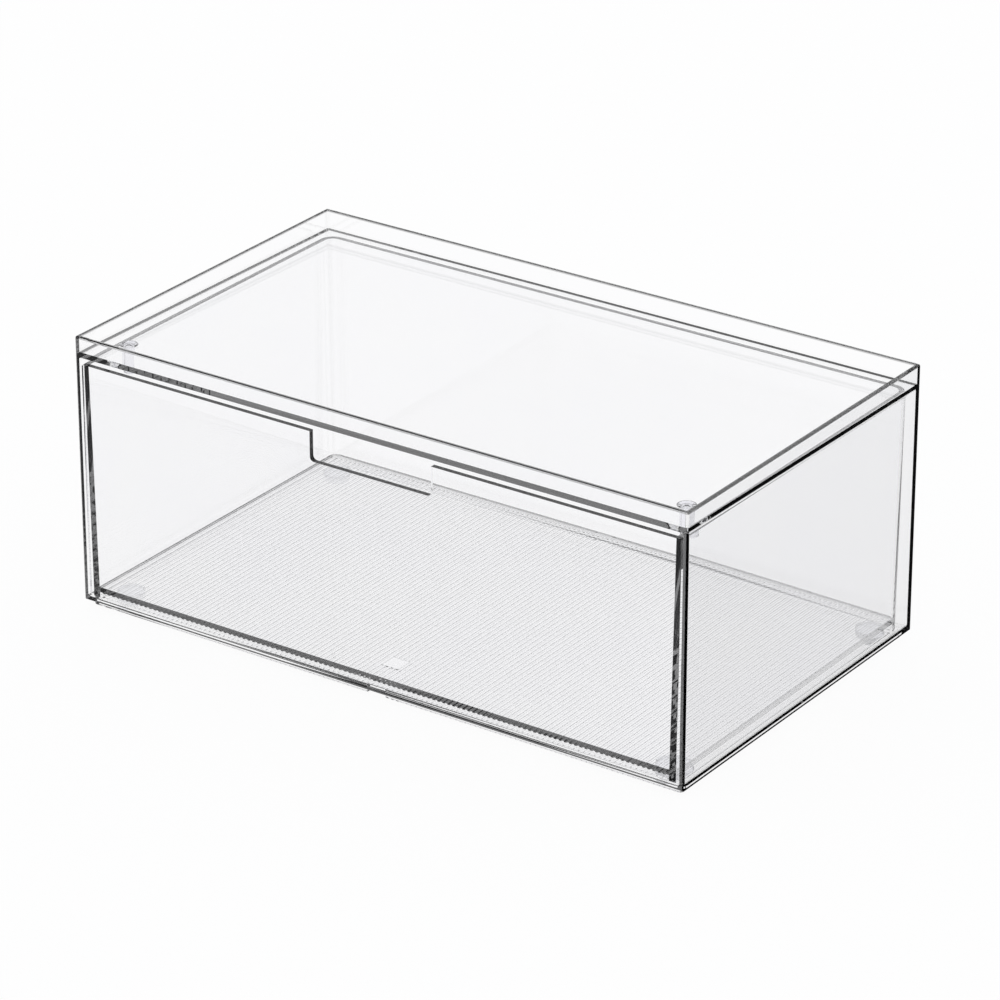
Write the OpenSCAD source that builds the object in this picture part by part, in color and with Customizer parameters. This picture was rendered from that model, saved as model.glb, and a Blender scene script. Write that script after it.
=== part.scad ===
// Stackable drawer box: an open-fronted case with a stacking rim and plinth,
// one pull-out drawer, two stop pins that keep the drawer in, and four soft feet.
// Millimetres, +Z up, the drawer opens towards -Y.
// The origin is under the middle of the box, on the surface that it stands on.

/* [Case] */
// Width of the case, left to right
case_w = 305; // [220:1:400]
// Depth of the case, front to back
case_d = 176.5; // [120:0.5:300]
// Height of the case walls, from their bottom edge to the top of the rim
case_h = 121.9; // [80:0.1:220]
// Thickness of the side walls
side_wall = 2.2; // [1.8:0.1:3]
// Thickness of the back wall
back_wall = 2.2; // [1.8:0.1:3]
// Thickness of the deck under the stacking rim
deck_t = 2.1; // [1.8:0.1:4]
// Fall of the deck from the front to the back, so that the case leaves its core, in degrees
deck_fall = 0.5; // [0:0.05:1]
// Thickness of the case floor
floor_t = 2; // [1.4:0.1:3]
// Radius of the upright outer edges of the case
case_edge_r = 1; // [0.4:0.1:1.5]

/* [Stacking rim and plinth] */
// Height of the rim above the deck, at the front
rim_h = 7.2; // [4.5:0.1:12]
// Thickness of the rim
rim_wall = 1.6; // [1.2:0.1:1.8]
// Height of the plinth ring under the case floor
plinth_h = 3.2; // [1.5:0.1:3.6]
// Thickness of the plinth ring
plinth_wall = 2; // [1.2:0.1:3]
// Gap between the plinth and the rim of the box below it
stack_gap = 1; // [0.4:0.1:3]
// Width of the drain notch in the middle of the plinth's front and back
plinth_notch_w = 9; // [5:0.5:20]

/* [Drawer front] */
// Thickness of the drawer front
front_t = 2.35; // [1.8:0.05:4]
// Gap between the drawer front and each side wall of the case
front_side_gap = 1.2; // [0.4:0.1:1.4]
// Gap between the drawer front and the case floor below it
front_bottom_gap = 1.1; // [0.5:0.1:2]
// Radius of the upper corners of the drawer front
front_corner_r = 0.8; // [0.3:0.1:3]
// Width of the finger notch in the top edge of the drawer front
notch_w = 60.5; // [40:0.5:120]
// Depth of the finger notch
notch_d = 13.3; // [8:0.1:25]
// Radius of the finger notch's lower corners
notch_r = 2; // [1:0.1:6]

/* [Drawer tray] */
// Thickness of the tray's walls at their top edge
tray_wall = 2.4; // [1.5:0.1:3]
// Gap between the tray's top edge and each side wall of the case
tray_side_gap = 1.5; // [1.5:0.1:6]
// Gap between the tray's top edge and the deck above it, at the back where it is smallest
tray_top_gap = 1.4; // [0.6:0.1:4]
// Gap between the tray's top edge and the back wall of the case
tray_back_gap = 1; // [0.5:0.1:4]
// Lean of the tray's outer faces, narrower towards the floor, in degrees
tray_draft = 0.45; // [0.3:0.05:1.2]
// Lean of the tray's inner faces, in degrees
core_draft = 0.9; // [0.5:0.05:1.2]
// Outer radius of the tray's rear corners, at its top edge
tray_corner_r = 6.5; // [6:0.5:14]
// Thickness of the tray's floor, without its ribs
tray_floor_t = 2.35; // [1.5:0.05:3]
// Space between the case floor and the underside of the tray's floor
tray_lift = 2.7; // [1.4:0.1:6]
// Running gap between the tray's runners and the case floor
runner_gap = 0.1; // [0.05:0.05:0.4]

/* [Ribbed floor] */
// Spacing of the ribs under the tray's floor
rib_pitch = 2.5; // [2:0.1:6]
// Width of each rib
rib_w = 1.25; // [0.6:0.05:1.6]
// Height of each rib
rib_h = 0.45; // [0.2:0.05:0.8]
// Plain border between the outermost ribs and the tray's walls
rib_border = 1.2; // [0.5:0.1:4]
// Width and depth of the plain pad in the ribs, near the drawer front
pad_size = 8.8; // [5:0.1:20]
// Radius of the pad's corners
pad_corner_r = 1; // [0.2:0.1:2]
// Distance of the pad's middle behind the face of the drawer front
pad_inset = 17.7; // [14:0.1:40]

/* [Stop pins] */
// Diameter of the shank of each stop pin
pin_d = 5; // [3:0.1:6]
// Diameter of the countersunk head
pin_head_d = 7.8; // [6.8:0.1:10]
// Length of each pin, from the top of its head
pin_len = 13; // [8:0.1:20]
// Height of the straight lip at the edge of the head
pin_lip = 0.3; // [0.2:0.05:0.5]
// Bevel round the tip of each pin
pin_tip = 0.6; // [0.2:0.1:1.2]
// Clearance round the shank and under the head
pin_fit = 0.05; // [0.02:0.01:0.1]
// Distance of each pin from the side of the case
pin_inset_x = 13.2; // [12:0.1:30]
// Distance of each pin from the front of the case
pin_inset_y = 19.4; // [10:0.1:40]

/* [Feet] */
// Diameter of each foot
foot_d = 12; // [8:0.5:16]
// How far the feet stand below the plinth
foot_proud = 0.5; // [0.3:0.1:1]
// Radius of the lower edge of each foot
foot_edge_r = 0.8; // [0.3:0.1:1.2]
// Distance of each foot from the side of the case
foot_inset_x = 15; // [15:0.5:40]
// Distance of each foot from the front or back of the case
foot_inset_y = 14.5; // [14.5:0.5:40]

/* [Hidden] */
$fn = 48;
clear_plastic = [0.90, 0.91, 0.95, 0.45];
tray_plastic = [0.78, 0.82, 0.90, 0.55];
pin_plastic = [0.70, 0.72, 0.78, 0.8];
soft_plastic = [0.86, 0.87, 0.88, 0.8];
// A cut runs this far past the face that it opens
over = 1;

// Heights, from the surface that the box stands on
plinth_z = foot_proud;
wall_z = plinth_z + plinth_h;
floor_z = wall_z + floor_t;
rim_z = wall_z + case_h;
deck_z = rim_z - rim_h;
front_low_z = floor_z + front_bottom_gap;
runner_z = floor_z + runner_gap;
tray_under_z = floor_z + tray_lift;
tray_floor_z = tray_under_z + tray_floor_t;

// Faces of the case and the drawer, from the middle of the box
case_x = case_w / 2;
case_y = case_d / 2;
bay_x = case_x - side_wall;
bay_y = case_y - back_wall;
plinth_inset = rim_wall + stack_gap;
front_x = bay_x - front_side_gap;
front_back_y = -case_y + front_t;
tray_x = bay_x - tray_side_gap;
tray_y = bay_y - tray_back_gap;
pin_x = case_x - pin_inset_x;
pin_y = -case_y + pin_inset_y;

// Height of the deck's top at y: the deck is level from side to side and falls to the back
function deck_at(y) = deck_z - (y + case_y) * tan(deck_fall);

tray_top_z = deck_at(bay_y) - deck_t - tray_top_gap;
pin_z = deck_at(pin_y);

// How far a face of the tray's walls has leaned in at height z. It is rounded to a
// micrometre, so that their flat and round faces end at the very same points.
function lean_in(z, draft) = round(1000 * (tray_top_z - z) * tan(draft)) / 1000;

// The field of ribs lies inside the tray's walls at the height of its floor
field_x = tray_x - tray_wall - lean_in(tray_under_z, core_draft) - rib_border;
field_y = tray_y - tray_wall - lean_in(tray_under_z, core_draft) - rib_border;
rib_count = floor((2 * field_x - rib_w) / rib_pitch) + 1;

// A rectangle round the middle, with round corners
module round_rect(w, d, r) {
    square([w - 2 * r, d], center = true);
    square([w, d - 2 * r], center = true);
    for (sx = [-1, 1], sy = [-1, 1])
        translate([sx * (w / 2 - r), sy * (d / 2 - r)]) circle(r);
}

// An upright block over that rectangle, from z0 to z1
module round_block(w, d, r, z0, z1) {
    translate([0, 0, z0]) linear_extrude(z1 - z0) round_rect(w, d, r);
}

// A block from y0 to the tray's back. Its sides and its back lean in towards the
// bottom, and its rear corners are round. half_w, back_y and r are its half width,
// its back and its corner radius at the tray's top edge.
module leaning_block(half_w, back_y, r, y0, z0, z1, draft) {
    in0 = lean_in(z0, draft);
    in1 = lean_in(z1, draft);
    corner_x = half_w - r;
    corner_y = back_y - r;
    translate([0, corner_y, 0]) rotate([90, 0, 0]) linear_extrude(corner_y - y0)
        polygon([
            [-half_w + in0, z0], [half_w - in0, z0],
            [half_w - in1, z1], [-half_w + in1, z1]
        ]);
    translate([-corner_x, 0, 0]) rotate([90, 0, 90]) linear_extrude(2 * corner_x)
        polygon([[y0, z0], [back_y - in0, z0], [back_y - in1, z1], [y0, z1]]);
    for (sx = [-1, 1])
        translate([sx * corner_x, corner_y, z0])
            cylinder(h = z1 - z0, r1 = r - in0, r2 = r - in1);
}

// The hole through the deck for a stop pin, countersunk for its head
module pin_hole() {
    head_r = pin_head_d / 2 + pin_fit;
    hole_r = pin_d / 2 + pin_fit;
    cone_h = head_r - hole_r;
    translate([0, 0, pin_z - deck_t - over]) cylinder(h = deck_t + 2 * over, r = hole_r);
    translate([0, 0, pin_z - pin_lip - cone_h])
        cylinder(h = cone_h, r1 = hole_r, r2 = head_r);
    translate([0, 0, pin_z - pin_lip]) cylinder(h = pin_lip + over, r = head_r);
}

// Places its children at the stop pin of the given side, -1 left or 1 right
module at_pin(side) {
    translate([side * pin_x, pin_y, 0]) children();
}

// The ring under the case floor, with its two drain notches
module plinth() {
    ring_w = case_w - 2 * plinth_inset;
    ring_d = case_d - 2 * plinth_inset;
    difference() {
        round_block(ring_w, ring_d, case_edge_r + 1, plinth_z, wall_z + floor_t / 2);
        round_block(
            ring_w - 2 * plinth_wall, ring_d - 2 * plinth_wall, case_edge_r,
            plinth_z - over, wall_z
        );
        translate([-plinth_notch_w / 2, -case_y, plinth_z - over])
            cube([plinth_notch_w, case_d, plinth_h + over]);
    }
}

// A prism of the given width across the case, over an outline of [y, z] points
module across(w, outline) {
    translate([-w / 2, 0, 0]) rotate([90, 0, 90]) linear_extrude(w) polygon(outline);
}

// What the stacking rim stands round, down to the deck
module recess() {
    intersection() {
        round_block(
            case_w - 2 * rim_wall, case_d - 2 * rim_wall, case_edge_r / 2,
            deck_at(case_y) - over, rim_z + over
        );
        across(case_w, [
            [-case_y, deck_at(-case_y)], [case_y, deck_at(case_y)],
            [case_y, rim_z + 2 * over], [-case_y, rim_z + 2 * over]
        ]);
    }
}

// The bay that the drawer slides in, open at the front
module bay() {
    open_y = -case_y - over;
    across(2 * bay_x, [
        [open_y, floor_z], [bay_y, floor_z],
        [bay_y, deck_at(bay_y) - deck_t], [open_y, deck_at(open_y) - deck_t]
    ]);
}

// The case: walls, floor and deck in one piece, open at the front
module case_shell() color(clear_plastic) {
    difference() {
        union() {
            round_block(case_w, case_d, case_edge_r, wall_z, rim_z);
            plinth();
        }
        recess();
        bay();
        for (side = [-1, 1]) at_pin(side) pin_hole();
    }
}

// The face of the drawer front, with round upper corners
module front_face() {
    straight_x = front_x - front_corner_r;
    straight_z = tray_top_z - front_corner_r;
    translate([-front_x, front_low_z]) square([2 * front_x, straight_z - front_low_z]);
    translate([-straight_x, front_low_z])
        square([2 * straight_x, tray_top_z - front_low_z]);
    for (sx = [-1, 1]) translate([sx * straight_x, straight_z]) circle(front_corner_r);
}

// The finger notch in that face, with round lower corners
module finger_notch() {
    straight_x = notch_w / 2 - notch_r;
    translate([0, tray_top_z - notch_d + notch_r]) {
        translate([-notch_w / 2, 0]) square([notch_w, notch_d]);
        translate([-straight_x, -notch_r]) square([2 * straight_x, notch_d]);
        for (sx = [-1, 1]) translate([sx * straight_x, 0]) circle(notch_r);
    }
}

// What the notch takes out of the drawer front, through its whole thickness
module notch_cut() {
    translate([0, front_back_y + over, 0]) rotate([90, 0, 0])
        linear_extrude(front_t + 2 * over) finger_notch();
}

// The ribs that run from front to back under the tray's floor, in one comb
module floor_ribs() {
    first_x = -(rib_count - 1) * rib_pitch / 2;
    comb = [
        for (i = [0 : rib_count - 1], corner = [[-1, 0], [-1, 1], [1, 1], [1, 0]])
            [first_x + i * rib_pitch + corner[0] * rib_w / 2, -corner[1] * rib_h]
    ];
    back = [[field_x, tray_floor_t / 2], [-field_x, tray_floor_t / 2]];
    translate([0, field_y, tray_under_z]) rotate([90, 0, 0])
        linear_extrude(field_y - front_back_y + front_t / 2)
            polygon(concat([[-field_x, 0]], comb, [[field_x, 0]], back));
    translate([0, -case_y + pad_inset, 0])
        round_block(
            pad_size, pad_size, pad_corner_r, tray_under_z - rib_h,
            tray_under_z + tray_floor_t / 2
        );
}

// The walls and the plain floor of the tray, without its front
module tray_walls() {
    inner_x = tray_x - tray_wall;
    inner_y = tray_y - tray_wall;
    inner_r = tray_corner_r - tray_wall;
    difference() {
        leaning_block(
            tray_x, tray_y, tray_corner_r, front_back_y - front_t / 2,
            runner_z, tray_top_z, tray_draft
        );
        leaning_block(
            inner_x, inner_y, inner_r, front_back_y, tray_floor_z, tray_top_z + over,
            core_draft
        );
        leaning_block(
            inner_x, inner_y, inner_r, front_back_y - front_t, runner_z - over,
            tray_under_z, core_draft
        );
    }
}

// The drawer: front, walls and ribbed floor in one piece
module drawer_tray() color(tray_plastic) {
    difference() {
        union() {
            translate([0, front_back_y, 0]) rotate([90, 0, 0])
                linear_extrude(front_t) front_face();
            tray_walls();
        }
        notch_cut();
    }
    floor_ribs();
}

// A push-in pin that hangs through the deck into the drawer and stops its back wall
module stop_pin() color(pin_plastic) {
    head_r = pin_head_d / 2;
    cone_h = head_r - pin_d / 2;
    translate([0, 0, pin_z]) rotate_extrude()
        polygon([
            [0, 0], [head_r, 0], [head_r, -pin_lip], [pin_d / 2, -pin_lip - cone_h],
            [pin_d / 2, -pin_len + pin_tip], [pin_d / 2 - pin_tip, -pin_len],
            [0, -pin_len]
        ]);
}

// A soft round foot, stuck under the case floor inside the plinth
module foot() color(soft_plastic) {
    rotate_extrude() {
        square([foot_d / 2 - foot_edge_r, wall_z]);
        translate([0, foot_edge_r]) square([foot_d / 2, wall_z - foot_edge_r]);
        intersection() {
            translate([foot_d / 2 - foot_edge_r, foot_edge_r]) circle(foot_edge_r);
            square([foot_d / 2, foot_edge_r]);
        }
    }
}

// Places a foot at a corner: side -1 left or 1 right, end -1 front or 1 rear
module foot_at(side, end) {
    translate([side * (case_x - foot_inset_x), end * (case_y - foot_inset_y), 0]) foot();
}

case_shell();
drawer_tray();
at_pin(-1) stop_pin();  // stop_pin_left
at_pin(1) stop_pin();  // stop_pin_right
foot_at(-1, -1);  // foot_front_left
foot_at(1, -1);  // foot_front_right
foot_at(-1, 1);  // foot_rear_left
foot_at(1, 1);  // foot_rear_right
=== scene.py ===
"""Stackable drawer box: a clear moulded case with one pull-out drawer, two stop pins and four feet."""

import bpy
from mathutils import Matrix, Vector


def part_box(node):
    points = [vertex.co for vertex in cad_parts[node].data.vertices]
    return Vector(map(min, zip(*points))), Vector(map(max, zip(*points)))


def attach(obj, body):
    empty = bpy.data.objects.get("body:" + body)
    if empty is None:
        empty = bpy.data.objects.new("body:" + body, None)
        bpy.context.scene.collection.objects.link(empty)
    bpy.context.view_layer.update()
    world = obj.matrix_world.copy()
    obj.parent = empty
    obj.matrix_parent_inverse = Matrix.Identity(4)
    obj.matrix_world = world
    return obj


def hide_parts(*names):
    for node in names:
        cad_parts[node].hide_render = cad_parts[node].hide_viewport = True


bl_info = {
    "name": "Stackable Drawer Box",
    "version": (1, 0, 0),
    "blender": (4, 5, 0),
    "location": "3D View > Sidebar > Drawer Box",
    "description": "Builds a clear stackable drawer box piece by piece around its packed frame",
    "category": "Add Mesh",
}

from math import cos, pi, radians, sin, tan

import bmesh
import bpy
from bpy.props import FloatProperty, FloatVectorProperty, PointerProperty
from mathutils import Vector

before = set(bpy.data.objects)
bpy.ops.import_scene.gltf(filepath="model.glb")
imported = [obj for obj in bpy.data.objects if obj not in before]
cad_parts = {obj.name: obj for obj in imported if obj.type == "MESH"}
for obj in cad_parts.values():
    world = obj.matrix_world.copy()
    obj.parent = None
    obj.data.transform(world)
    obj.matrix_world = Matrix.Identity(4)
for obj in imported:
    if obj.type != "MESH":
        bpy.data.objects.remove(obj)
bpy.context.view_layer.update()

MM = 0.001
PAST = 2 * MM  # a cut runs this far past the face that it opens
TOUCH = 0.02 * MM  # how close a face is to the place where it is looked for
MERGED = 0.002 * MM  # points of a finished piece that are closer than this become one
SPIN_MERGED = 0.005 * MM  # the same where a spun outline closes
SHARP = radians(40)  # faces that meet at more than this have a moulded edge between them
SMOOTH = radians(25)  # faces that meet at less than this are shaded as one

# Segments in which a round stretch is made
CORNER_STEPS = 6  # an outer corner, the finger notch and the foot's edge
EDGE_STEPS = 5  # a long narrow edge or fillet
INNER_STEPS = 4  # a corner inside the rim or the plinth, and the pad's
TRAY_STEPS = 12  # the tray's large rear corners
MOULD_STEPS = 2  # the fine radius on every other edge
SPIN_STEPS = 48  # once round a pin or a foot

SIDES = ("left", "right")
FEET = ("front_left", "front_right", "rear_left", "rear_right")


# Sizes and colours that a user would change


def length(name, description, millimetres):
    """A length property, given in millimetres and kept in Blender's metres."""
    return FloatProperty(
        name=name,
        description=description,
        default=millimetres * MM,
        min=0.0,
        precision=5,
        subtype="DISTANCE",
        unit="LENGTH",
    )


def lean(name, description, degrees):
    """An angle property, given in degrees."""
    return FloatProperty(
        name=name, description=description, default=radians(degrees), subtype="ANGLE", unit="ROTATION"
    )


def shares(hex_code):
    """The red, green and blue of an sRGB hex code, from 0 to 1."""
    return [int(hex_code[i : i + 2], 16) / 255 for i in (1, 3, 5)]


def colour(name, description, hex_code):
    """A colour property whose default is an sRGB hex code, shown and stored as sRGB."""
    return FloatVectorProperty(
        name=name,
        description=description,
        default=shares(hex_code),
        size=3,
        min=0.0,
        max=1.0,
        subtype="COLOR_GAMMA",
    )


class CaseSizes(bpy.types.PropertyGroup):
    """Walls and edges of the case"""

    side_wall: length("Side wall", "Thickness of the side walls", 2.2)
    back_wall: length("Back wall", "Thickness of the back wall", 2.2)
    deck: length("Deck", "Thickness of the deck under the stacking rim", 2.1)
    floor: length("Floor", "Thickness of the case floor", 2.0)
    deck_fall: lean("Deck fall", "Fall of the deck towards the back, so that the case leaves its core", 0.5)
    bay_fillet: length("Bay fillet", "Radius of the bay's long inner corners", 0.8)
    rim: length("Rim", "Thickness of the stacking rim", 1.6)
    plinth_gap: length("Plinth gap", "Gap between the plinth and the rim of the box below", 1.0)
    plinth_wall: length("Plinth wall", "Thickness of the plinth ring", 2.0)
    plinth_notch: length("Plinth notch", "Width of the drain notches in the plinth", 9.0)
    plinth_lift: length("Plinth lift", "Height of the plinth's lower edge above the packed case's", 0.5)
    corner: length("Corner radius", "Radius of the upright outer corners", 1.0)
    pin_fit: length("Pin fit", "Clearance of the holes round the stop pins", 0.05)
    rim_edge: length("Rim edge", "Radius of the rim's outer upper edge", 0.95)
    edge: length("Edge radius", "Radius that the mould leaves on every other edge", 0.2)


class DrawerSizes(bpy.types.PropertyGroup):
    """Walls, ribs and openings of the drawer"""

    front: length("Front", "Thickness of the drawer front", 2.35)
    overhang: length("Overhang", "How far the front stands past the tray at each side", 0.3)
    front_lift: length("Front lift", "Height of the front's lower edge above the runners", 1.0)
    front_corner: length("Front corner", "Radius of the front's upper corners", 0.8)
    notch_width: length("Notch width", "Width of the finger notch", 60.5)
    notch_depth: length("Notch depth", "Depth of the finger notch", 13.3)
    notch_radius: length("Notch radius", "Radius of the finger notch's lower corners", 2.0)
    wall: length("Wall", "Thickness of the tray's walls at their top edge", 2.4)
    draft: lean("Draft", "Lean of the tray's outer faces, so that the moulding leaves its mould", 0.45)
    core_draft: lean("Core draft", "Lean of the tray's inner faces", 0.9)
    corner: length("Corner radius", "Radius of the tray's rear corners", 6.5)
    fillet: length("Floor fillet", "Radius between the tray's walls and its floor", 0.4)
    floor: length("Floor", "Thickness of the tray's floor without its ribs", 2.35)
    runner: length("Runner", "Height of the runners below the tray's floor", 2.6)
    rib_pitch: length("Rib pitch", "Spacing of the ribs under the floor", 2.5)
    rib_width: length("Rib width", "Width of each rib", 1.25)
    rib_height: length("Rib height", "Height of each rib", 0.45)
    rib_border: length("Rib border", "Plain border round the ribs", 1.2)
    pad: length("Pad", "Width of the plain pad among the ribs", 8.8)
    pad_corner: length("Pad corner", "Radius of the pad's corners", 1.0)
    pad_inset: length("Pad inset", "Distance of the pad's middle behind the drawer front's face", 17.7)
    edge: length("Edge radius", "Radius that the mould leaves on every other edge", 0.2)


class PinSizes(bpy.types.PropertyGroup):
    """The push-in stop pins"""

    shank: length("Shank", "Diameter of the shank", 5.0)
    lip: length("Lip", "Height of the straight lip round the head", 0.3)
    tip: length("Tip", "Bevel round the tip", 0.6)
    edge: length("Edge radius", "Radius of the head's edges", 0.1)


class FootSizes(bpy.types.PropertyGroup):
    """The soft feet"""

    edge: length("Edge radius", "Radius of the foot's lower edge", 0.8)
    seat: length("Seat", "Thickness of the adhesive film over the foot", 0.05)


class Finishes(bpy.types.PropertyGroup):
    """Colours of the clear plastics"""

    styrene: colour("Styrene", "Colour of the case and the drawer", "#FFFFFF")
    pin: colour("Pins", "Colour of the stop pins", "#F4F4F8")
    foot: colour("Feet", "Colour of the soft feet", "#F2F3F6")


class BoxSettings(bpy.types.PropertyGroup):
    """All settings of the drawer box"""

    case: PointerProperty(name="Case", description="Sizes of the case", type=CaseSizes)
    drawer: PointerProperty(name="Drawer", description="Sizes of the drawer", type=DrawerSizes)
    pin: PointerProperty(name="Stop pins", description="Sizes of the stop pins", type=PinSizes)
    foot: PointerProperty(name="Feet", description="Sizes of the soft feet", type=FootSizes)
    finish: PointerProperty(name="Finishes", description="Colours of the plastics", type=Finishes)


# Modelling


def start():
    """Leaves edit mode and selects nothing."""
    if bpy.context.object and bpy.context.object.mode != "OBJECT":
        bpy.ops.object.mode_set(mode="OBJECT")
    bpy.ops.object.select_all(action="DESELECT")


def choose(piece):
    """Selects one piece alone and makes it the active one."""
    start()
    piece.select_set(True)
    bpy.context.view_layer.objects.active = piece


def settle(piece):
    """Applies a piece's place and size to its mesh, so that its object sits at the origin."""
    choose(piece)
    bpy.ops.object.transform_apply(location=True, rotation=True, scale=True)


def move(piece, x, y):
    """Moves a piece that was made round the upright axis over a point."""
    piece.location = (x, y, 0)
    settle(piece)


def block(name, low, high):
    """A box between two corners."""
    start()
    low, high = Vector(low), Vector(high)
    bpy.ops.mesh.primitive_cube_add(size=1, location=(low + high) / 2, scale=high - low)
    piece = bpy.context.object
    piece.name = piece.data.name = name
    settle(piece)
    return piece


def pick(piece, kind, wanted):
    """Goes into edit mode with the points or the edges of a piece selected that pass the test."""
    choose(piece)
    bpy.ops.object.mode_set(mode="EDIT")
    bpy.ops.mesh.select_mode(type=kind)
    bpy.ops.mesh.select_all(action="DESELECT")
    mesh = bmesh.from_edit_mesh(piece.data)
    for part in mesh.verts if kind == "VERT" else mesh.edges:
        if wanted(part):
            part.select_set(True)
    mesh.select_flush_mode()
    bmesh.update_edit_mesh(piece.data)


def upright(a, b):
    """True for the ends of an edge that stands on end."""
    return (a.xy - b.xy).length < TOUCH


def lengthways(a, b):
    """True for the ends of an edge that runs from front to back."""
    return (a.xz - b.xz).length < TOUCH


def round_edges(piece, wanted, radius, steps):
    """Rounds the edges whose two ends pass the test."""
    pick(piece, "EDGE", lambda edge: wanted(edge.verts[0].co, edge.verts[1].co))
    bpy.ops.mesh.bevel(offset=radius, segments=steps, affect="EDGES")
    start()


def combine(piece, tool, operation):
    """Cuts the tool out of the piece, or joins it on, and removes the tool."""
    modifier = piece.modifiers.new(operation.title(), "BOOLEAN")
    modifier.object = tool
    modifier.operation = operation
    modifier.solver = "EXACT"
    choose(piece)
    bpy.ops.object.modifier_apply(modifier=modifier.name)
    bpy.data.objects.remove(tool)


def soften(piece, radius):
    """Rounds every sharp edge as a polished mould does."""
    choose(piece)
    modifier = piece.modifiers.new("Mould edges", "BEVEL")
    modifier.width = radius
    modifier.segments = MOULD_STEPS
    modifier.limit_method = "ANGLE"
    modifier.angle_limit = SHARP
    modifier.miter_outer = "MITER_ARC"
    bpy.ops.object.modifier_apply(modifier=modifier.name)


def spun(name, outline):
    """A solid spun round the upright axis from the (radius, height) points of half its outline."""
    mesh = bpy.data.meshes.new(name)
    mesh.from_pydata(
        [(r, 0, z) for r, z in outline], [(i, i + 1) for i in range(len(outline) - 1)], []
    )
    piece = bpy.data.objects.new(name, mesh)
    bpy.context.scene.collection.objects.link(piece)
    choose(piece)
    bpy.ops.object.mode_set(mode="EDIT")
    bpy.ops.mesh.select_all(action="SELECT")
    bpy.ops.mesh.spin(steps=SPIN_STEPS, angle=2 * pi, center=(0, 0, 0), axis=(0, 0, 1))
    bpy.ops.mesh.select_all(action="SELECT")
    bpy.ops.mesh.remove_doubles(threshold=SPIN_MERGED)
    bpy.ops.mesh.normals_make_consistent(inside=False)
    start()
    return piece


def finish_piece(piece, name, body, node_name, material):
    """Names and dresses a finished piece, and puts it on its body in place of its CAD node."""
    choose(piece)
    bpy.ops.object.mode_set(mode="EDIT")
    bpy.ops.mesh.select_all(action="SELECT")
    bpy.ops.mesh.remove_doubles(threshold=MERGED)
    bpy.ops.mesh.normals_make_consistent(inside=False)
    bpy.ops.object.mode_set(mode="OBJECT")
    bpy.ops.object.shade_smooth_by_angle(angle=SMOOTH)
    modifier = piece.modifiers.new("Flat faces stay flat", "WEIGHTED_NORMAL")
    modifier.keep_sharp = True
    bpy.ops.object.modifier_apply(modifier=modifier.name)
    piece.name = piece.data.name = name
    piece.data.materials.clear()
    piece.data.materials.append(material)
    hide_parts(node_name)
    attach(piece, body)


# Materials


REFLECTION = "#B0B0B4"  # tint of the reflections, which a moulded face gives a little weaker
ABSORPTION = "#808083"  # a long way through the plastic takes light evenly and leaves it cool
FLOW_MARK = 45 * MM  # width of a flow mark, where the melt ran unevenly
FLOW_TONE = (0.996, 0.996, 1.0)  # its tone, as shares of the plastic's own red, green and blue
PAINTED_SHADE_TONE = 0.06  # tone of the painted shade where it is full, as a share of the plastic's own
PAINTED_SHADE_RIM = 0.6  # how much painted shade the rim's top edge gets, where 1 is full
PAINTED_SHADE_FRONT = 1.0  # painted shade on the narrow upper edges of the drawer front
PAINTED_SHADE_RIBS = 0.34  # painted shade on the ribs' sides
PAINTED_SHADE_RIB_CORNERS = 0.3  # painted shade along the ribs' corners
PAINTED_SHADE_PAD = 0.5  # painted shade on the pad's outline
PAINTED_SHADE_RUNNERS = 0.5  # painted shade on the runners' undersides, where they rest on the case floor
RIB_CORNER_SHADE = 0.3 * MM  # width of the painted shade along a rib's corner, drawn wider than the real corner so that it shows
PAD_OUTLINE = 0.4 * MM  # width of the pad's painted outline


def linear(srgb):
    """An sRGB colour, given as a hex code or as three shares, as linear RGBA."""
    if isinstance(srgb, str):
        srgb = shares(srgb)
    return [c / 12.92 if c <= 0.04045 else ((c + 0.055) / 1.055) ** 2.4 for c in srgb] + [1.0]


def node(tree, kind, settings=None, *inputs, **named):
    """Adds a node with its settings, and returns it.

    Its sockets are set or linked in order, or by their names with _ for a space.
    """
    made = tree.nodes.new(kind)
    for key, value in (settings or {}).items():
        setattr(made, key, value)
    by_name = ((name.replace("_", " "), value) for name, value in named.items())
    for key, value in (*enumerate(inputs), *by_name):
        if isinstance(value, bpy.types.NodeSocket):
            tree.links.new(value, made.inputs[key])
        else:
            made.inputs[key].default_value = value
    return made


def new_material(name):
    """An empty node material and its tree."""
    material = bpy.data.materials.new(name)
    material.use_nodes = True
    material.node_tree.nodes.clear()
    return material, material.node_tree


def clear_plastic(name, tint, ior, density, shade_mask=None):
    """A clear plastic out of a polished mould.

    The eye gets a faint unevenness where the melt flowed, tens of millimetres across. density is how
    much the plastic absorbs in a metre. The last argument adds the nodes that say how much painted shade
    each place gets: a darker colour in place of the dark lines that light bent inside the plastic gives.
    """
    material, tree = new_material(name)
    coords = node(tree, "ShaderNodeTexCoord").outputs["Object"]
    flow = node(tree, "ShaderNodeTexNoise", Vector=coords, Scale=1 / FLOW_MARK, Detail=1.0)
    marked = linear([share * part for share, part in zip(FLOW_TONE, tint)])
    tone = node(tree, "ShaderNodeMixRGB", None, flow.outputs["Fac"], linear(tint), marked)
    # painted shade: where the mask asks, the colour darkens towards a dark grey, standing in for dark lines
    # that are really light bent inside the plastic
    if shade_mask:
        shade_colour = linear([PAINTED_SHADE_TONE * share for share in tint])
        tone = node(tree, "ShaderNodeMixRGB", None, shade_mask(tree, coords), tone.outputs[0], shade_colour)
    shader = node(
        tree,
        "ShaderNodeBsdfPrincipled",
        Base_Color=tone.outputs[0],
        Roughness=0.0,
        IOR=ior,
        Specular_Tint=linear(REFLECTION),
        Transmission_Weight=1.0,
    )
    absorb = node(tree, "ShaderNodeVolumeAbsorption", Color=linear(ABSORPTION), Density=density)
    node(
        tree,
        "ShaderNodeOutputMaterial",
        Surface=shader.outputs["BSDF"],
        Volume=absorb.outputs["Volume"],
    )
    return material


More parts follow.
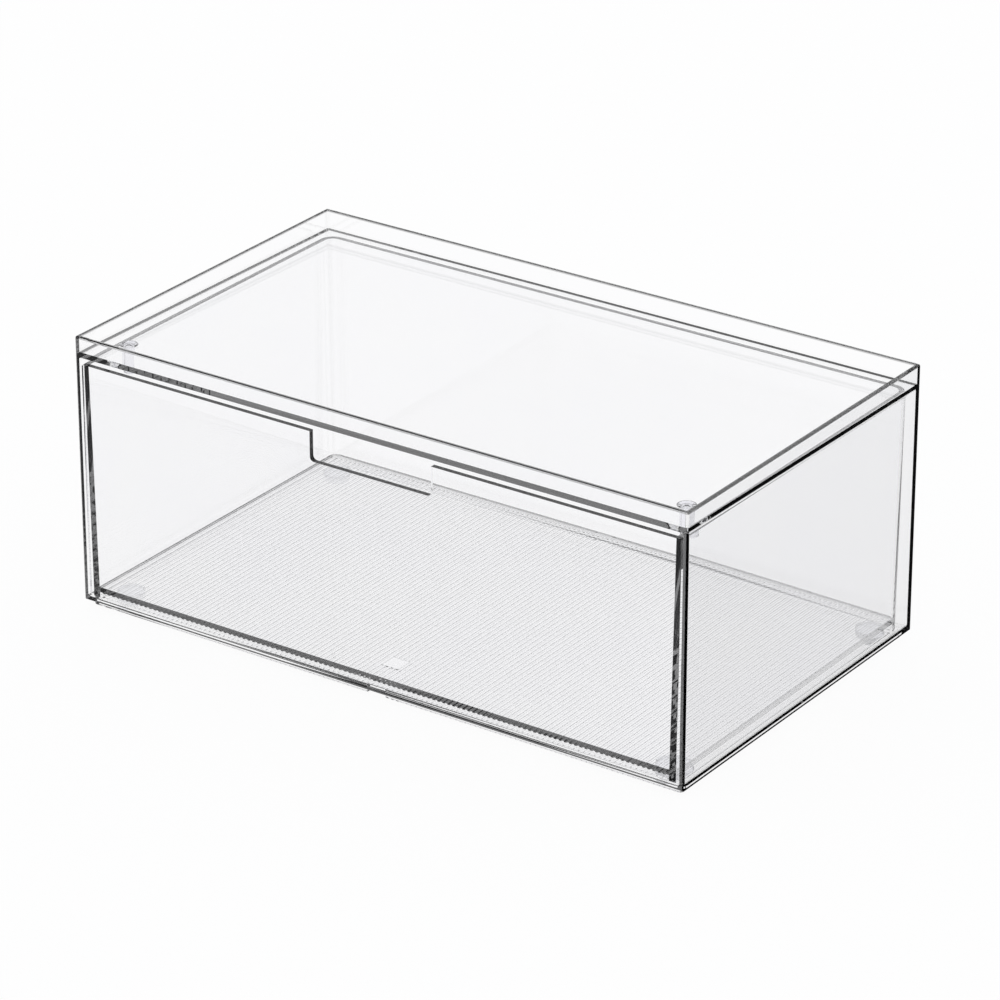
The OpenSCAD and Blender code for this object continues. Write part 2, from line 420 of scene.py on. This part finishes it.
def strongest(tree, masks):
    """The strongest of several masks at each place.

    A mask is its strength and the tests that a place has to pass. A test is a Math operation with its
    inputs, and gives 1 where it is passed and 0 elsewhere.
    """
    most = 0.0
    for strength, *tests in masks:
        share = strength
        for operation, *inputs in tests:
            passed = node(tree, "ShaderNodeMath", {"operation": operation}, *inputs).outputs[0]
            share = node(tree, "ShaderNodeMath", {"operation": "MULTIPLY"}, share, passed).outputs[0]
        most = node(tree, "ShaderNodeMath", {"operation": "MAXIMUM"}, most, share).outputs[0]
    return most


def case_painted_shade(tree, coords):
    """How much painted shade each place of the case gets: a dark line painted on the rim's top edge."""
    size = bpy.context.scene.drawer_box.case
    z = node(tree, "ShaderNodeSeparateXYZ", Vector=coords).outputs["Z"]
    edge_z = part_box("case_shell")[1].z - size.rim_edge
    # painted shade: a dark line on the rim's top edge
    return strongest(tree, [(PAINTED_SHADE_RIM, ("GREATER_THAN", z, edge_z))])


def case_plastic(finish):
    """Styrene is hard and water-clear: its polished faces mirror, and its edges are dark lines; the one on
    the rim's top edge is painted shade.
    """
    return clear_plastic("Clear styrene, polished mould", finish.styrene, 1.57, 4.0, case_painted_shade)


def rib_field(size):
    """Half the width of the field of ribs, its back, and how many ribs it takes."""
    low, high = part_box("drawer_tray")
    leant = (high.z - low.z - size.runner) * tan(size.core_draft)
    inset = size.wall + leant + size.rib_border
    half_x = high.x - size.overhang - inset
    return half_x, high.y - inset, int((2 * half_x - size.rib_width) / size.rib_pitch) + 1


def drawer_painted_shade(tree, coords):
    """How much painted shade each place of the drawer gets.

    Painted shade on the ribs' sides and along their corners shows as fine lines, and the pad gets a painted
    outline. The narrow upper edges of the front and the runners' undersides get painted shade all
    over.
    """
    size = bpy.context.scene.drawer_box.drawer
    low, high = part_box("drawer_tray")
    half_x, _, count = rib_field(size)
    half_rib = size.rib_height / 2
    half_pad = size.pad / 2
    half_front = size.front / 2
    rib_z = low.z + size.runner - half_rib
    x, y, z = node(tree, "ShaderNodeSeparateXYZ", Vector=coords).outputs

    def square(half):
        """Passed within a square round the pad's middle."""
        return ("COMPARE", x, 0.0, half), ("COMPARE", y, low.y + size.pad_inset, half)

    def outside(half):
        """Passed outside that square."""
        return "SUBTRACT", 1.0, strongest(tree, [(1.0, *square(half))])

    first = (count - 1) * size.rib_pitch / 2
    along = node(tree, "ShaderNodeMath", {"operation": "ADD"}, x, first)
    from_rib = node(
        tree, "ShaderNodeMath", {"operation": "PINGPONG"}, along.outputs[0], size.rib_pitch / 2
    )
    rib_corner_line = ("COMPARE", from_rib.outputs[0], size.rib_width / 2, RIB_CORNER_SHADE / 2)
    below = ("COMPARE", z, rib_z, half_rib + TOUCH)
    among_ribs = (("COMPARE", x, 0.0, half_x), outside(half_pad + TOUCH))
    in_plate = ("COMPARE", y, low.y + half_front, half_front - TOUCH)
    above_notch = ("GREATER_THAN", z, high.z - size.notch_depth - TOUCH)
    # painted shade: the ribs' fine lines, the pad's outline, the front's upper edges and the runners'
    # undersides
    return strongest(
        tree,
        [
            (PAINTED_SHADE_FRONT, in_plate, above_notch),
            (PAINTED_SHADE_RIBS, ("COMPARE", z, rib_z, half_rib - TOUCH), *among_ribs),
            (PAINTED_SHADE_RIB_CORNERS, below, *among_ribs, rib_corner_line),
            (PAINTED_SHADE_PAD, below, *square(half_pad + TOUCH), outside(half_pad - PAD_OUTLINE)),
            (PAINTED_SHADE_RUNNERS, ("LESS_THAN", z, low.z + TOUCH)),
        ],
    )


def drawer_plastic(finish):
    """The case's styrene again, with painted shade on the ribs that shows as fine lines through the clear
    floor.
    """
    return clear_plastic(
        "Clear styrene drawer, polished mould", finish.styrene, 1.57, 4.0, drawer_painted_shade
    )


def pin_plastic(finish):
    """Polycarbonate is tougher and bends light more: the small pins look brighter and greyer."""
    return clear_plastic("Clear polycarbonate, moulded", finish.pin, 1.58, 8.0)


def foot_plastic(finish):
    """Soft polyurethane bends light less and absorbs more: the feet are pale discs."""
    return clear_plastic("Clear soft polyurethane, cast", finish.foot, 1.49, 12.0)


# Pieces


def pin_shape(head_r, shank_r, lip, face_z, top_z, low_z, tip=0.0):
    """A countersunk pin round the upright axis.

    Its lip and its cone hang from the height face_z, and its head goes on up to top_z.
    """
    cone_z = face_z - lip
    outline = [(0, top_z), (head_r, top_z), (head_r, cone_z), (shank_r, cone_z - (head_r - shank_r))]
    if tip:
        outline.append((shank_r, low_z + tip))
    outline += [(shank_r - tip, low_z), (0, low_z)]
    return spun("pin", outline)


class BOX_OT_case(bpy.types.Operator):
    """Case: walls, floor, deck, stacking rim and plinth in one moulding, open at the front"""

    bl_idname = "drawer_box.case"
    bl_label = "Case"

    def execute(self, context):
        """Cuts the recess and the bay out of one block, joins the plinth on and drills the pin holes."""
        settings = context.scene.drawer_box
        size = settings.case
        low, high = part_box("case_shell")
        wall_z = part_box("foot_front_left")[1].z
        pin_low, pin_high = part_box("stop_pin_left")
        fall = tan(size.deck_fall)
        deck_z = pin_high.z + ((pin_low.y + pin_high.y) / 2 - low.y) * fall  # at the front
        case = block("case", (low.x, low.y, wall_z), high)
        round_edges(case, upright, size.corner, CORNER_STEPS)
        round_edges(case, lambda a, b: min(a.z, b.z) > high.z - TOUCH, size.rim_edge, EDGE_STEPS)

        recess = self.recess(size, low, high, deck_z)
        self.let_fall(recess, (0.0, deck_z + TOUCH), low.y, fall)
        combine(case, recess, "DIFFERENCE")
        bay = self.bay(size, low, high, wall_z, deck_z)
        self.let_fall(bay, (deck_z / 2, deck_z), low.y, fall)
        combine(case, bay, "DIFFERENCE")
        combine(case, self.plinth(size, low, high, wall_z), "UNION")
        for side in SIDES:
            combine(case, self.pin_hole(size, settings.pin, f"stop_pin_{side}"), "DIFFERENCE")
        soften(case, size.edge)
        finish_piece(
            case, "case_moulding", "case", "case_shell", case_plastic(settings.finish)
        )
        return {"FINISHED"}

    def let_fall(self, piece, heights, front_y, slope):
        """Lets what lies between two heights of a piece fall towards the back."""
        for vertex in piece.data.vertices:
            if heights[0] < vertex.co.z < heights[1]:
                vertex.co.z -= (vertex.co.y - front_y) * slope

    def recess(self, size, low, high, deck_z):
        """The room inside the stacking rim, over the deck."""
        recess = block(
            "recess",
            (low.x + size.rim, low.y + size.rim, deck_z),
            (high.x - size.rim, high.y - size.rim, high.z + PAST),
        )
        round_edges(recess, upright, size.corner / 2, INNER_STEPS)
        return recess

    def bay(self, size, low, high, wall_z, deck_z):
        """The room that the drawer slides in, open at the front."""
        bay = block(
            "bay",
            (low.x + size.side_wall, low.y - PAST, wall_z + size.floor),
            (high.x - size.side_wall, high.y - size.back_wall, deck_z - size.deck),
        )
        round_edges(bay, lengthways, size.bay_fillet, EDGE_STEPS)
        return bay

    def plinth(self, size, low, high, wall_z):
        """The ring under the floor, which fits into the rim of the box below."""
        inset = size.rim + size.plinth_gap
        plinth_low = Vector((low.x + inset, low.y + inset, low.z + size.plinth_lift))
        plinth_high = Vector((high.x - inset, high.y - inset, wall_z + size.floor / 2))
        plinth = block("plinth", plinth_low, plinth_high)
        round_edges(plinth, upright, 2 * size.corner, CORNER_STEPS)
        wall = Vector((size.plinth_wall, size.plinth_wall, PAST))
        hollow_high = plinth_high - wall
        hollow_high.z = wall_z
        hollow = block("hollow", plinth_low + wall - Vector((0, 0, 2 * PAST)), hollow_high)
        round_edges(hollow, upright, size.corner, INNER_STEPS)
        combine(plinth, hollow, "DIFFERENCE")
        half_notch = size.plinth_notch / 2
        for y in (plinth_low.y, plinth_high.y):
            notch = block(
                "notch",
                (-half_notch, y - size.plinth_wall - PAST, low.z - PAST),
                (half_notch, y + size.plinth_wall + PAST, wall_z),
            )
            combine(plinth, notch, "DIFFERENCE")
        return plinth

    def pin_hole(self, size, pins, pin):
        """What is cut out of the deck for one stop pin."""
        low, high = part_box(pin)
        middle = (low + high) / 2
        hole = pin_shape(
            (high.x - low.x) / 2 + size.pin_fit,
            pins.shank / 2 + size.pin_fit,
            pins.lip,
            high.z,
            high.z + PAST,
            high.z - size.deck - PAST,
        )
        move(hole, middle.x, middle.y)
        return hole


class BOX_OT_drawer(bpy.types.Operator):
    """Drawer: front, tray walls and ribbed floor in one moulding"""

    bl_idname = "drawer_box.drawer"
    bl_label = "Drawer"

    def execute(self, context):
        """Hollows a leaning tray, joins the front on it, and sets the ribs and the pad under its floor."""
        settings = context.scene.drawer_box
        size = settings.drawer
        low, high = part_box("drawer_tray")
        front_y = low.y + size.front / 2  # what is joined on the front begins inside it
        plate_back = low.y + size.front
        half = high.x - size.overhang
        under_z = low.z + size.runner
        floor_z = under_z + size.floor
        inner = half - size.wall
        inner_back = high.y - size.wall
        inner_r = size.corner - size.wall

        drawer = self.leaning("drawer", half, front_y, high.y, size.corner, high.z, low.z, size.draft)
        under = self.leaning(
            "under", inner, low.y - PAST, inner_back, inner_r, under_z, low.z - PAST, size.core_draft
        )
        combine(drawer, under, "DIFFERENCE")
        combine(drawer, self.front(size, low, high), "UNION")
        inside = self.leaning(
            "inside", inner, plate_back, inner_back, inner_r, high.z + PAST, floor_z, size.core_draft
        )
        round_edges(
            inside,
            lambda a, b: max(a.z, b.z) < floor_z + TOUCH and max(a.y, b.y) > plate_back + TOUCH,
            size.fillet,
            EDGE_STEPS,
        )
        combine(drawer, inside, "DIFFERENCE")
        combine(drawer, self.notch(size, low, high), "DIFFERENCE")
        soften(drawer, size.edge)

        heights = (under_z - size.rib_height, under_z + size.floor / 2)
        combine(drawer, self.ribs(size, front_y, heights), "UNION")
        combine(drawer, self.pad(size, low.y + size.pad_inset, heights), "UNION")
        plastic = drawer_plastic(settings.finish)
        finish_piece(drawer, "drawer_moulding", "drawer", "drawer_tray", plastic)
        return {"FINISHED"}

    def leaning(self, name, half_width, front_y, back_y, radius, top_z, low_z, draft):
        """A block whose sides and back lean in towards the bottom, with round rear corners.

        Its width, its back and its radius hold at the height of the tray's top edge.
        """
        grow = (top_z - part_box("drawer_tray")[1].z) * tan(draft)
        shrink = (top_z - low_z) * tan(draft)
        half, back = half_width + grow, back_y + grow
        start()
        bpy.ops.mesh.primitive_plane_add(size=1, location=(0, (front_y + back) / 2, top_z))
        piece = bpy.context.object
        piece.name = name
        piece.scale = (2 * half, back - front_y, 1)
        settle(piece)
        pick(piece, "VERT", lambda vertex: vertex.co.y > front_y + TOUCH)
        bpy.ops.mesh.bevel(offset=radius + grow, segments=TRAY_STEPS, affect="VERTICES")
        bpy.ops.mesh.select_mode(type="FACE")
        bpy.ops.mesh.select_all(action="SELECT")
        bpy.ops.mesh.inset(thickness=shrink, depth=low_z - top_z)
        start()
        for vertex in piece.data.vertices:  # the front face stays upright
            if vertex.co.z < top_z - TOUCH and vertex.co.y < front_y + shrink + TOUCH:
                vertex.co.y = front_y
        pick(piece, "EDGE", lambda edge: len(edge.link_faces) == 1)
        bpy.ops.mesh.edge_face_add()
        bpy.ops.mesh.select_all(action="SELECT")
        bpy.ops.mesh.normals_make_consistent(inside=False)
        start()
        return piece

    def front(self, size, low, high):
        """The front plate, with round upper corners."""
        plate = block(
            "front", (low.x, low.y, low.z + size.front_lift), (high.x, low.y + size.front, high.z)
        )
        round_edges(
            plate,
            lambda a, b: lengthways(a, b) and min(a.z, b.z) > high.z - TOUCH,
            size.front_corner,
            EDGE_STEPS,
        )
        return plate

    def notch(self, size, low, high):
        """What is cut out of the front for the fingers, with round lower corners."""
        half_notch = size.notch_width / 2
        notch = block(
            "notch",
            (-half_notch, low.y - PAST, high.z - size.notch_depth),
            (half_notch, low.y + size.front + PAST, high.z + PAST),
        )
        round_edges(
            notch,
            lambda a, b: lengthways(a, b) and max(a.z, b.z) < high.z,
            size.notch_radius,
            CORNER_STEPS,
        )
        return notch

    def ribs(self, size, front_y, heights):
        """The ribs under the floor, as one piece."""
        _, back_y, count = rib_field(size)
        first = -(count - 1) * size.rib_pitch / 2
        ribs = block(
            "ribs",
            (first - size.rib_width / 2, front_y, heights[0]),
            (first + size.rib_width / 2, back_y, heights[1]),
        )
        modifier = ribs.modifiers.new("Rib field", "ARRAY")
        modifier.use_relative_offset = False
        modifier.use_constant_offset = True
        modifier.constant_offset_displace = (size.rib_pitch, 0, 0)
        modifier.count = count
        choose(ribs)
        bpy.ops.object.modifier_apply(modifier=modifier.name)
        return ribs

    def pad(self, size, middle_y, heights):
        """The plain pad among the ribs."""
        half_pad = size.pad / 2
        pad = block(
            "pad",
            (-half_pad, middle_y - half_pad, heights[0]),
            (half_pad, middle_y + half_pad, heights[1]),
        )
        round_edges(pad, upright, size.pad_corner, INNER_STEPS)
        return pad


class BOX_OT_stop_pins(bpy.types.Operator):
    """Stop pins: two countersunk pins that are pushed through the deck"""

    bl_idname = "drawer_box.stop_pins"
    bl_label = "Stop pins"

    def execute(self, context):
        """Makes a pin for each side."""
        settings = context.scene.drawer_box
        size = settings.pin
        plastic = pin_plastic(settings.finish)
        for side in SIDES:
            low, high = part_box(f"stop_pin_{side}")
            middle = (low + high) / 2
            pin = pin_shape(
                (high.x - low.x) / 2, size.shank / 2, size.lip, high.z, high.z, low.z, size.tip
            )
            soften(pin, size.edge)
            move(pin, middle.x, middle.y)
            finish_piece(pin, f"pin_{side}", "case", f"stop_pin_{side}", plastic)
        return {"FINISHED"}


class BOX_OT_feet(bpy.types.Operator):
    """Feet: four soft clear discs that are stuck under the case floor"""

    bl_idname = "drawer_box.feet"
    bl_label = "Feet"

    def execute(self, context):
        """Makes a foot for each corner."""
        settings = context.scene.drawer_box
        plastic = foot_plastic(settings.finish)
        for corner in FEET:
            low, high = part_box(f"foot_{corner}")
            middle = (low + high) / 2
            foot = spun("foot", self.outline(settings.foot, low, high))
            move(foot, middle.x, middle.y)
            finish_piece(foot, f"bumper_{corner}", "case", f"foot_{corner}", plastic)
        return {"FINISHED"}

    def outline(self, size, low, high):
        """Half the outline of a foot, from its underside round its lower edge to its top."""
        radius = (high.x - low.x) / 2
        top_z = high.z - size.seat
        turns = [i * pi / 2 / CORNER_STEPS for i in range(CORNER_STEPS + 1)]
        edge = [
            (radius - size.edge + size.edge * sin(turn), low.z + size.edge - size.edge * cos(turn))
            for turn in turns
        ]
        return [(0, low.z), *edge, (radius, top_z), (0, top_z)]


# Stage


CAMERA = {
    "location": (1.08281, -1.55236, 0.93833),  # in metres
    "azimuth": radians(34.834),
    "elevation": radians(24.972),
    "lens": 178.77,  # in millimetres, as is the sensor
    "sensor": 36,
    "reach": 50,  # how far it sees, in metres
}
LIGHT_BOUNCES = 30  # light runs a long way inside clear plastic before it comes out of an edge
BOUNCE_KEEPS = 0.95  # share of the plain white that stays seen after each mirror bounce: painted shade that darkens light which runs long inside the plastic
WHITE = "#FFFFFF"
LIGHT_COLOUR = "#F7F8FA"
LIGHT_STRENGTH = 0.95
FLOOR_COLOUR = "#F8F8FA"
FLOOR_SIZE = 12  # in metres
FLOOR_WHITE = 0.95  # share of plain white in the floor, beside its real light and shadow
FLOOR_MIRRORED = 0.95  # strength of that white in a mirror
FLOOR_PAINTED_SHADE = 0.0  # the same right of the box: painted shade, which the right wall mirrors so that it looks greyer than the front
SHADE_STARTS = 0.8  # where the change between them starts, as a share of the box's half width


class BOX_OT_stage(bpy.types.Operator):
    """Stage: pale floor, soft light and the camera"""

    bl_idname = "drawer_box.stage"
    bl_label = "Stage"

    def execute(self, context):
        """Makes the floor, the world and the camera."""
        scene = context.scene
        scene.view_settings.view_transform = "Standard"
        scene.cycles.max_bounces = LIGHT_BOUNCES
        scene.cycles.glossy_bounces = LIGHT_BOUNCES
        scene.cycles.transmission_bounces = LIGHT_BOUNCES
        self.world(scene)
        self.floor()
        self.camera(scene)
        return {"FINISHED"}

    def camera(self, scene):
        """A long lens that looks down at the front and the right side."""
        data = bpy.data.cameras.new("camera")
        data.lens = CAMERA["lens"]
        data.sensor_width = CAMERA["sensor"]
        data.clip_end = CAMERA["reach"]
        camera = bpy.data.objects.new("camera", data)
        scene.collection.objects.link(camera)
        camera.location = CAMERA["location"]
        camera.rotation_euler = (pi / 2 - CAMERA["elevation"], 0, CAMERA["azimuth"])
        scene.camera = camera

    def seen(self, tree, share=1.0, mirrored=1.0):
        """How much of the plain white is seen, and how strong it is.

        The white is for the camera, and for what it sees in a mirror and through the plastic. Every
        mirror bounce dims it a little: painted shade that darkens the light which runs long inside the
        plastic and comes out at its edges.
        """
        path = node(tree, "ShaderNodeLightPath").outputs
        by_bounce = (path["Is Glossy Ray"], path["Is Transmission Ray"])
        bent = node(tree, "ShaderNodeMath", {"operation": "MAXIMUM"}, *by_bounce).outputs[0]
        by_any = (path["Is Camera Ray"], bent)
        white = node(tree, "ShaderNodeMath", {"operation": "MAXIMUM"}, *by_any).outputs[0]
        amount = node(tree, "ShaderNodeMath", {"operation": "MULTIPLY"}, white, share).outputs[0]
        # painted shade: the white dims with each mirror bounce, so that light that runs long inside the
        # plastic comes out darker at its edges
        bounces = (BOUNCE_KEEPS, path["Glossy Depth"])
        kept = node(tree, "ShaderNodeMath", {"operation": "POWER"}, *bounces).outputs[0]
        less = node(tree, "ShaderNodeMath", {"operation": "SUBTRACT"}, mirrored, 1.0).outputs[0]
        in_mirror = (path["Is Reflection Ray"], less, 1.0)
        mirror = node(tree, "ShaderNodeMath", {"operation": "MULTIPLY_ADD"}, *in_mirror).outputs[0]
        strength = node(tree, "ShaderNodeMath", {"operation": "MULTIPLY"}, kept, mirror).outputs[0]
        return amount, strength

    def world(self, scene):
        """White where it is seen, and soft light."""
        scene.world = bpy.data.worlds.new("Studio")
        scene.world.use_nodes = True
        tree = scene.world.node_tree
        tree.nodes.clear()
        amount, strength = self.seen(tree)
        light = node(
            tree, "ShaderNodeBackground", Color=linear(LIGHT_COLOUR), Strength=LIGHT_STRENGTH
        ).outputs[0]
        white = node(tree, "ShaderNodeBackground", Color=linear(WHITE), Strength=strength).outputs[0]
        both = node(tree, "ShaderNodeMixShader", None, amount, light, white)
        node(tree, "ShaderNodeOutputWorld", Surface=both.outputs[0])

    def floor(self):
        """A pale floor that stays near white and keeps a soft shadow, with painted shade in what a mirror
        shows of it right of the box.
        """
        start()
        bpy.ops.mesh.primitive_plane_add(size=FLOOR_SIZE, location=(0, 0, 0))
        floor = bpy.context.object
        floor.name = "floor"
        material, tree = new_material("Pale floor")
        coords = node(tree, "ShaderNodeTexCoord").outputs["Object"]
        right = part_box("case_shell")[1].x
        # painted shade: right of the box the white that a mirror shows of the floor fades out, so that the
        # right wall looks greyer than the front
        mirrored = node(
            tree,
            "ShaderNodeMapRange",
            Value=node(tree, "ShaderNodeSeparateXYZ", Vector=coords).outputs["X"],
            From_Min=SHADE_STARTS * right,
            From_Max=right,
            To_Min=FLOOR_MIRRORED,
            To_Max=FLOOR_PAINTED_SHADE,
        ).outputs[0]
        amount, strength = self.seen(tree, FLOOR_WHITE, mirrored)
        lit = node(tree, "ShaderNodeBsdfDiffuse", Color=linear(FLOOR_COLOUR)).outputs[0]
        white = node(tree, "ShaderNodeEmission", Color=linear(WHITE), Strength=strength).outputs[0]
        both = node(tree, "ShaderNodeMixShader", None, amount, lit, white)
        node(tree, "ShaderNodeOutputMaterial", Surface=both.outputs[0])
        floor.data.materials.append(material)


class BOX_PT_panel(bpy.types.Panel):
    """Lists the pieces of the drawer box"""

    bl_label = "Drawer Box"
    bl_idname = "BOX_PT_panel"
    bl_space_type = "VIEW_3D"
    bl_region_type = "UI"
    bl_category = "Drawer Box"

    def draw(self, context):
        """One button for each operator, then the settings of each group."""
        for operator in OPERATORS:
            self.layout.operator(operator.bl_idname)
        for name, group in zip(BoxSettings.__annotations__, GROUPS):
            column = self.layout.box().column()
            column.label(text=name.title())
            for key in group.__annotations__:
                column.prop(getattr(context.scene.drawer_box, name), key)


GROUPS = (CaseSizes, DrawerSizes, PinSizes, FootSizes, Finishes)
OPERATORS = (BOX_OT_stage, BOX_OT_case, BOX_OT_drawer, BOX_OT_stop_pins, BOX_OT_feet)
CLASSES = (*GROUPS, BoxSettings, *OPERATORS, BOX_PT_panel)


def register():
    """Registers the classes and the scene's settings."""
    for one in CLASSES:
        bpy.utils.register_class(one)
    bpy.types.Scene.drawer_box = PointerProperty(type=BoxSettings)


def unregister():
    """Takes them out again."""
    del bpy.types.Scene.drawer_box
    for one in reversed(CLASSES):
        bpy.utils.unregister_class(one)


def main():
    """Builds the whole box."""
    register()
    bpy.ops.drawer_box.stage()
    bpy.ops.drawer_box.case()
    bpy.ops.drawer_box.drawer()
    bpy.ops.drawer_box.stop_pins()
    bpy.ops.drawer_box.feet()


if __name__ == "__main__":
    main()
